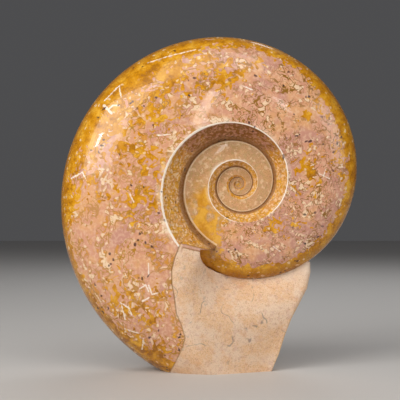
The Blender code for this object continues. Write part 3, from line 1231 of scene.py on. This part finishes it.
def stick_distance(x, z, stick):
    """The distance in the XZ plane from a straight stick, whose ends are in millimetres."""
    ax, az, bx, bz = (end * MILLI for end in stick)
    run_x, run_z = bx - ax, bz - az
    from_x, from_z = x - ax, z - az
    share = clamp((from_x * run_x + from_z * run_z) * (1.0 / (run_x**2 + run_z**2)))
    off_x, off_z = from_x - share * run_x, from_z - share * run_z
    return (off_x * off_x + off_z * off_z) ** 0.5


class StonePaint(Paint):
    """The stone's places and patterns, which its colours share."""

    def __init__(self, material):
        super().__init__(material)
        self.t, self.across, self.gap = self.split(self.attribute("coil_place"))
        self.matrix_reach, self.calcite_reach, self.over = self.split(self.attribute("zones"))
        self.highlight_and_splinter = self.value(self.attribute("rim_highlight", "Fac"))
        self.x, self.y, self.z = self.split(self.place)
        self.add_clouds()
        self.add_sutures()
        self.add_specks()
        self.add_zones()

    def add_clouds(self):
        """Noises from the coarsest to the finest, and the darker lower left of the front."""
        self.coarse = self.noise(28.0, 2.0)
        self.patchy = self.noise(62.0, 3.0, seed=3.1)
        self.clouds = self.noise(120.0, 4.0, seed=4.4, rough=0.65)
        self.speckle = self.noise(300.0, 2.0, seed=8.8)
        self.fine = self.noise(420.0, 3.0, seed=1.7)
        self.grain = self.noise(1300.0, 2.0, seed=5.3)
        self.dusky = self.ramp(self.z, 0.090, 0.030) * self.ramp(self.x, -0.015, -0.040)

    def add_sutures(self):
        """Frilly sutures: the level lines of curled noises, thick where a noise is flat. One noise
        lies on the unrolled coil, so that its loops run along the whorl and shrink with it."""
        along, over, aside = UNROLLED
        side = self.maths("SIGN", self.y)
        unrolled = self.combined(self.t * along, self.across * over, side * aside)
        self.curls = self.noise(130.0, 0.4, unrolled, distortion=1.2)
        self.frills = self.noise(185.0, 0.0, seed=2.2, distortion=1.3)
        bend = 0.45 * sine(self.across * 4.1 + self.t)
        chamber = self.t * (SUTURES / TURN) + bend + (self.coarse - 0.5) * 2.2
        from_line = size_of(self.maths("FRACT", chamber) - 0.5)
        self.crowd = self.ramp(from_line + (self.patchy - 0.5) * 1.1, 0.42, 0.27)
        self.line = self.ramp(size_of(self.curls - 0.5), 0.040, 0.016)
        near_suture = self.ramp(self.crowd + (self.coarse - 0.5), 0.0, 0.4)
        frill = self.ramp(size_of(self.frills - 0.52), 0.042, 0.018)
        self.lines = greater(self.line * near_suture, frill * self.crowd)

    def add_specks(self):
        """Pale flecks, dark specks in clusters, and the matrix's broken veins."""
        place = self.shaken(0.006, 160.0)
        self.flecks = self.dots(place, 270.0, 0, edge=(0.42, 0.28), chosen=(0.68, 0.72))
        specks = self.dots(place, 240.0, 1, edge=(0.34, 0.22), chosen=(0.70, 0.74))
        clusters = self.noise(40.0, 2.0, seed=6.1) + self.dusky * 0.06
        self.specks = specks * self.ramp(clusters, 0.49, 0.58)
        veins = self.ramp(size_of(self.noise(20.0, 3.0, seed=11.0) - 0.5), 0.006, 0.0015)
        self.veins = veins * self.ramp(self.noise(75.0, 2.0, seed=13.0), 0.50, 0.60)

    def add_zones(self):
        """Shares of the earlier turns, the calcite, the matrix and the splinters, with ragged edges."""
        turn = self.t + (self.patchy - 0.5) * 0.9 + (self.curls - 0.5) * 0.5
        self.earlier = self.ramp(turn, *EARLIER_TURNS)
        ragged = self.calcite_reach + (self.patchy - 0.5) * 0.024 + (self.fine - 0.5) * 0.012
        ragged = ragged + (self.frills - 0.5) * 0.050 + (self.curls - 0.5) * 0.030
        self.calcite = self.ramp(ragged, -0.0006, 0.0008)
        self.matrix = self.ramp(self.matrix_reach + (self.fine - 0.5) * 0.0022, -0.0002, 0.0004)

        # Splinters show on the front alone
        nearest = None
        for *stick, width in SPLINTERS:
            distance = stick_distance(self.x, self.z, stick) - width * MILLI / 2.0
            nearest = distance if nearest is None else lesser(nearest, distance)
        splinters = self.ramp(nearest + (self.fine - 0.5) * 0.0022, 0.00035, -0.00015)
        self.splinters = splinters * self.ramp(self.y, 0.0, -0.005)


def chamber_colour(paint, finish):
    """Pink chambers with warmer, cooler and paler patches, cream lobes, sutures and amber bulbs."""
    # Painted shade in part: mauve grows towards the right and the lower right, where the light falls off
    cooler = paint.noise(40.0, 2.0, seed=9.4) + paint.x * (0.5 + (AXIS_Z - paint.z) * 14.0)
    lobes = paint.ramp(paint.curls, 0.535, 0.560) * paint.ramp(paint.noise(48.0, 1.0, seed=7.7), 0.53, 0.58)
    drawn = paint.mix(paint.ramp(paint.x, -0.03, 0.05), finish.gold, finish.suture)
    bulbs = paint.ramp(paint.curls, 0.46, 0.43) * paint.ramp(paint.frills, 0.52, 0.58) * paint.crowd
    bulbs = bulbs * between(0.25, 1.0, paint.ramp(paint.x, 0.02, -0.03))
    return paint.layers(
        finish.pink,
        (paint.ramp(paint.patchy, 0.44, 0.64) * 0.8, finish.tan),
        (paint.ramp(cooler, 0.48, 0.60) * 0.80, finish.mauve),
        (paint.dusky * paint.ramp(paint.patchy, 0.38, 0.60) * 0.6, finish.mauve),
        (paint.ramp(paint.fine, 0.42, 0.68) * 0.28, finish.cream),
        (lobes * paint.crowd * 0.75, finish.cream),
        (paint.lines * (0.60 + 0.4 * paint.ramp(paint.coarse, 0.35, 0.6)), drawn),
        (bulbs * 0.75, finish.amber),
    )


def calcite_colour(paint, finish):
    """Honey and rust clouds with pale flecks, painted shade along the venter and under the whorl at the
    lower right, and the sutures faintly.
    """
    # Painted shade: rust towards the venter, where the surface turns away, and on the whorl's underside
    # above the matrix at the lower right
    edge = paint.ramp(paint.over, 0.90, 1.0) * 0.55
    low = paint.ramp(paint.z, 0.120, 0.060) * paint.ramp(paint.x, 0.006, 0.024)
    low = low * paint.ramp(paint.over, 0.80, 0.96) * 0.8
    rusty = paint.ramp(paint.clouds - paint.dusky * 0.05, 0.47, 0.34)
    return paint.layers(
        finish.amber,
        (paint.ramp(paint.clouds, 0.46, 0.66), finish.honey),
        (rusty * (0.65 + paint.dusky * 0.2), finish.rust),
        (greater(edge, low), finish.rust),
        (paint.flecks * paint.ramp(paint.clouds, 0.44, 0.52) * 0.7, finish.cream),
        (paint.lines * 0.45, finish.rust),
    )


def earlier_colour(paint, finish):
    """The earlier turns are plainer and beige, with an ochre blush."""
    blush = paint.ramp(paint.t + (paint.patchy - 0.5) * 1.6 - paint.across * 0.3, *BLUSH)
    blush = blush * paint.ramp(paint.patchy + (paint.clouds - 0.5) * 0.8, 0.30, 0.46)
    ochre = paint.mix(paint.ramp(paint.clouds, 0.42, 0.60), finish.amber, finish.honey)
    return paint.layers(
        finish.beige,
        (paint.ramp(paint.fine, 0.35, 0.65) * 0.45, finish.pink),
        (paint.ramp(paint.clouds, 0.42, 0.58) * 0.35, finish.tan),
        (paint.ramp(paint.grain, 0.52, 0.66) * 0.40, finish.suture),
        (paint.ramp(paint.patchy, 0.46, 0.60) * 0.20, finish.suture),
        (paint.ramp(paint.speckle, 0.55, 0.63) * 0.45, finish.cream),
        (blush * 0.9, ochre),
    )


def wall_colour(paint, finish):
    """The umbilical wall: honey with a pale speckle, and above the axis painted shade, partly its own
    darker brown, with a cool speckle.
    """
    shade = paint.ramp(paint.z - AXIS_Z + (paint.clouds - 0.5) * 0.06, 0.012, 0.040)
    veined = greater(paint.line, paint.ramp(size_of(paint.frills - 0.49), 0.050, 0.020))
    return paint.layers(
        finish.amber,
        (paint.ramp(paint.clouds, 0.36, 0.56), finish.honey),
        (paint.ramp(paint.frills, 0.50, 0.56) * 0.60, finish.tan),
        (paint.ramp(paint.fine, 0.51, 0.59) * 0.65, finish.cream),
        (paint.flecks * 0.9, finish.cream),
        (veined * 0.50, finish.rust),
        # Painted shade on the wall above the axis, with a cool speckle in it
        (shade * 0.92, finish.wall),
        (paint.ramp(paint.speckle, 0.53, 0.57) * shade * 0.55, finish.mauve),
        (paint.ramp(paint.fine, 0.57, 0.62) * shade * 0.45, finish.pink),
    )


def seam_shade_and_highlight(paint, finish):
    """Painted shade in the furrow at the foot of the wall, and a painted highlight as a pale line on the
    lip beside it.
    """
    # Painted shade in the furrow, and a painted highlight on the lip
    furrow = paint.ramp(paint.gap, 0.13, 0.07) * paint.ramp(paint.gap, -0.012, 0.012)
    lip = paint.ramp(size_of(paint.gap + 0.030), 0.026, 0.012)
    return (furrow * 0.9, finish.furrow), (lip * 0.65, finish.cream)


def painted_rim_highlight(paint, finish):
    """A painted highlight as a pale line along the rim of the umbilicus, and a fainter painted sheen in a
    strip along it.
    """
    line = size_of(paint.across - 0.004 + (paint.fine - 0.5) * 0.03) - paint.highlight_and_splinter * 0.024
    line = paint.ramp(line, 0.012, -0.004) * lesser(paint.highlight_and_splinter * 1.5, 1.0)
    sheen_strip = paint.ramp(size_of(paint.across - 0.05), 0.14, 0.0) * paint.highlight_and_splinter
    sheen_strip = sheen_strip * paint.ramp(paint.patchy, 0.40, 0.60)
    return (line * 0.9, finish.highlight_and_splinter), (sheen_strip * 0.30, finish.highlight_and_splinter)


def matrix_colour(paint, finish):
    """Pale matrix with grain and veins, painted light that makes it chalky under the earlier whorl,
    and the wedge's top edge, which is a band with a painted shadow as a dark line in its groove."""
    # Painted light: chalky paleness on the matrix under the earlier whorl, where it faces up
    under = paint.ramp(paint.z, 0.070, 0.092) * paint.ramp(paint.x, -0.004, 0.006)
    top = paint.ramp(paint.z, 0.0955, 0.0985) * paint.ramp(paint.x, -0.0235, -0.0205)
    shift = (paint.fine - 0.5) * 0.0012
    band = paint.ramp(paint.matrix_reach + shift, 0.0034, 0.0024)
    # Painted shadow: a dark line in the groove below the wedge's top band
    groove_shadow = paint.ramp(size_of(paint.matrix_reach - 0.0030 + shift), 0.0009, 0.0003)
    return paint.layers(
        finish.matrix,
        (paint.ramp(paint.patchy, 0.40, 0.62) * 0.5, finish.chalk),
        (paint.ramp(paint.clouds, 0.50, 0.68) * 0.45, finish.tan),
        (paint.ramp(paint.speckle, 0.50, 0.66) * 0.30, finish.mauve),
        (paint.ramp(paint.fine, 0.52, 0.70) * 0.25, finish.chalk),
        (paint.ramp(paint.grain, 0.54, 0.68) * 0.40, finish.suture),
        (paint.ramp(paint.grain, 0.46, 0.34) * 0.35, finish.chalk),
        (under * 0.8, finish.chalk),
        (paint.veins * 0.55, finish.vein),
        (paint.specks * 0.25, finish.vein),
        (band * top * 0.6, finish.mauve),
        (groove_shadow * top * 0.7, finish.rust),
    )


def stone_colour(paint, finish):
    """The last turn's chambers and calcite, and over them the earlier turns, the umbilicus, the
    splinters and specks, the matrix, and a painted shadow as a dark line where it meets the shell."""
    in_chambers = 1.0 - paint.calcite
    # Painted shadow along the step where the matrix meets the shell
    contact_shadow = paint.ramp(size_of(paint.matrix_reach - 0.0002), 0.0009, 0.0002)
    return paint.layers(
        chamber_colour(paint, finish),
        (paint.calcite, calcite_colour(paint, finish)),
        (paint.flecks * in_chambers * paint.crowd * 0.8, finish.cream),
        (paint.earlier, earlier_colour(paint, finish)),
        (paint.ramp(paint.across, 0.02, -0.06) * 0.95, wall_colour(paint, finish)),
        *seam_shade_and_highlight(paint, finish),
        # Painted highlight and painted sheen along the rim of the umbilicus
        *painted_rim_highlight(paint, finish),
        (paint.splinters * 0.80, finish.highlight_and_splinter),
        (paint.specks * 0.85 * (1.0 - paint.earlier), finish.speck),
        (paint.matrix, matrix_colour(paint, finish)),
        (contact_shadow * 0.55, finish.suture),
    )


def add_polish(paint, shader):
    """A gloss with a clear coat on the shell, a satin matrix, and faint relief."""
    shell = SHELL_ROUGHNESS + (paint.fine - 0.5) * 0.16 + paint.lines * 0.08
    matrix = MATRIX_ROUGHNESS + (paint.grain - 0.5) * 0.2
    paint.feed(shader.inputs["Roughness"], between(shell, matrix, paint.matrix))
    paint.feed(shader.inputs["Coat Weight"], COAT_WEIGHT * (1.0 - paint.matrix))
    paint.feed(shader.inputs["Coat Roughness"], COAT_ROUGHNESS)
    paint.feed(shader.inputs["Specular IOR Level"], SPECULAR_LEVEL)
    relief = (paint.patchy - 0.5) * 0.9 + (paint.fine - 0.5) * 0.10 - paint.lines * 0.035
    relief = relief + paint.splinters * 0.05 - paint.specks * 0.08
    relief = relief + paint.matrix * ((paint.grain - 0.5) * 0.20 - paint.veins * 0.2)
    look = {"Strength": RELIEF_STRENGTH, "Distance": RELIEF_HEIGHT, "Height": relief}
    bump = paint.node("ShaderNodeBump", inputs=look)
    paint.feed(shader.inputs["Normal"], bump.outputs["Normal"])


def stone_material(finish):
    """Polished shell filled with pink and amber calcite, on a foot of pale matrix."""
    material = bpy.data.materials.new("polished stone")
    material.use_nodes = True
    shader = material.node_tree.nodes["Principled BSDF"]
    paint = StonePaint(material)
    paint.feed(shader.inputs["Base Color"], stone_colour(paint, finish))
    add_polish(paint, shader)
    return material


class AMMONITE_OT_stone(bpy.types.Operator):
    """Build the polished ammonite with its matrix foot"""

    bl_idname = "ammonite.stone"
    bl_label = "Ammonite"

    def execute(self, context):
        coil = context.scene.ammonite_coil
        foot = context.scene.ammonite_foot
        material = stone_material(context.scene.ammonite_finish)
        section = Section(coil)
        skin = coil_mesh(coil, material)
        mesh = joined_mesh(skin, foot_mesh(foot, section, coil, skin), material)
        mark_places(mesh, section)
        mesh.shade_smooth()
        mesh.set_sharp_from_angle(angle=SHARP_ANGLE)
        stone = new_object("polished_ammonite", mesh)
        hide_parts(NODE)
        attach(stone, "root")
        return {"FINISHED"}


class AMMONITE_OT_stage(bpy.types.Operator):
    """Set up the floor, the lamps, the surroundings and the camera"""

    bl_idname = "ammonite.stage"
    bl_label = "Stage"

    def execute(self, context):
        stage = context.scene.ammonite_stage
        build_floor(stage)
        build_lights(stage)
        build_world(stage)
        build_camera(stage)
        return {"FINISHED"}


def build_floor(stage):
    bm = bmesh.new()
    bmesh.ops.create_grid(bm, x_segments=1, y_segments=1, size=FLOOR_REACH)
    mesh = bpy.data.meshes.new("floor")
    bm.to_mesh(mesh)
    bm.free()
    material = bpy.data.materials.new("pale floor")
    material.use_nodes = True
    shader = material.node_tree.nodes["Principled BSDF"]
    shader.inputs["Base Color"].default_value = (*stage.floor_colour, 1.0)
    shader.inputs["Roughness"].default_value = FLOOR_ROUGHNESS
    mesh.materials.append(material)
    new_object("floor", mesh)


def build_lights(stage):
    """Soft lamps that point at the middle of the stone, and that no camera sees."""
    for name, (place, size, share, colour, shows) in LAMPS.items():
        lamp = bpy.data.lights.new(name, "AREA")
        lamp.shape = "RECTANGLE"
        lamp.size, lamp.size_y = size
        lamp.energy = stage.key_power * share
        lamp.color = colour
        obj = new_object(name, lamp)
        obj.location = place
        aim = Vector(LAMP_TARGET) - obj.location
        obj.rotation_euler = aim.to_track_quat("-Z", "Y").to_euler()
        obj.visible_camera = False
        obj.visible_glossy = shows


def build_world(stage):
    world = bpy.data.worlds.new("surroundings")
    world.use_nodes = True
    background = world.node_tree.nodes["Background"]
    background.inputs["Color"].default_value = (*stage.world_colour, 1.0)
    bpy.context.scene.world = world
    bpy.context.scene.view_settings.view_transform = "Standard"


def build_camera(stage):
    camera = bpy.data.cameras.new("camera")
    camera.sensor_width = SENSOR_WIDTH
    camera.lens = SENSOR_WIDTH * stage.focal_pixels / FRAME_PIXELS
    obj = new_object("camera", camera)
    obj.location = (CAMERA_X, -stage.camera_distance, CAMERA_Z)
    obj.rotation_euler = (math.radians(90.0), 0.0, 0.0)
    bpy.context.scene.camera = obj


class AMMONITE_PT_panel(bpy.types.Panel):
    """The ammonite's sizes and its building steps"""

    bl_idname = "AMMONITE_PT_panel"
    bl_label = "Polished Ammonite"
    bl_space_type = "VIEW_3D"
    bl_region_type = "UI"
    bl_category = "Ammonite"

    def draw(self, context):
        for name in SETTINGS:
            box = self.layout.box()
            settings = getattr(context.scene, name)
            for size in settings.__annotations__:
                box.prop(settings, size)
        for operator in OPERATORS:
            self.layout.operator(operator.bl_idname)


SETTINGS = {
    "ammonite_coil": AmmoniteCoil,
    "ammonite_foot": AmmoniteFoot,
    "ammonite_finish": AmmoniteFinish,
    "ammonite_stage": AmmoniteStage,
}
OPERATORS = (AMMONITE_OT_stage, AMMONITE_OT_stone)
CLASSES = (*SETTINGS.values(), *OPERATORS, AMMONITE_PT_panel)


def register():
    for cls in CLASSES:
        bpy.utils.register_class(cls)
    for name, cls in SETTINGS.items():
        setattr(bpy.types.Scene, name, bpy.props.PointerProperty(type=cls))


def unregister():
    for name in SETTINGS:
        delattr(bpy.types.Scene, name)
    for cls in reversed(CLASSES):
        bpy.utils.unregister_class(cls)


def main():
    register()
    bpy.ops.ammonite.stage()
    bpy.ops.ammonite.stone()


if __name__ == "__main__":
    main()
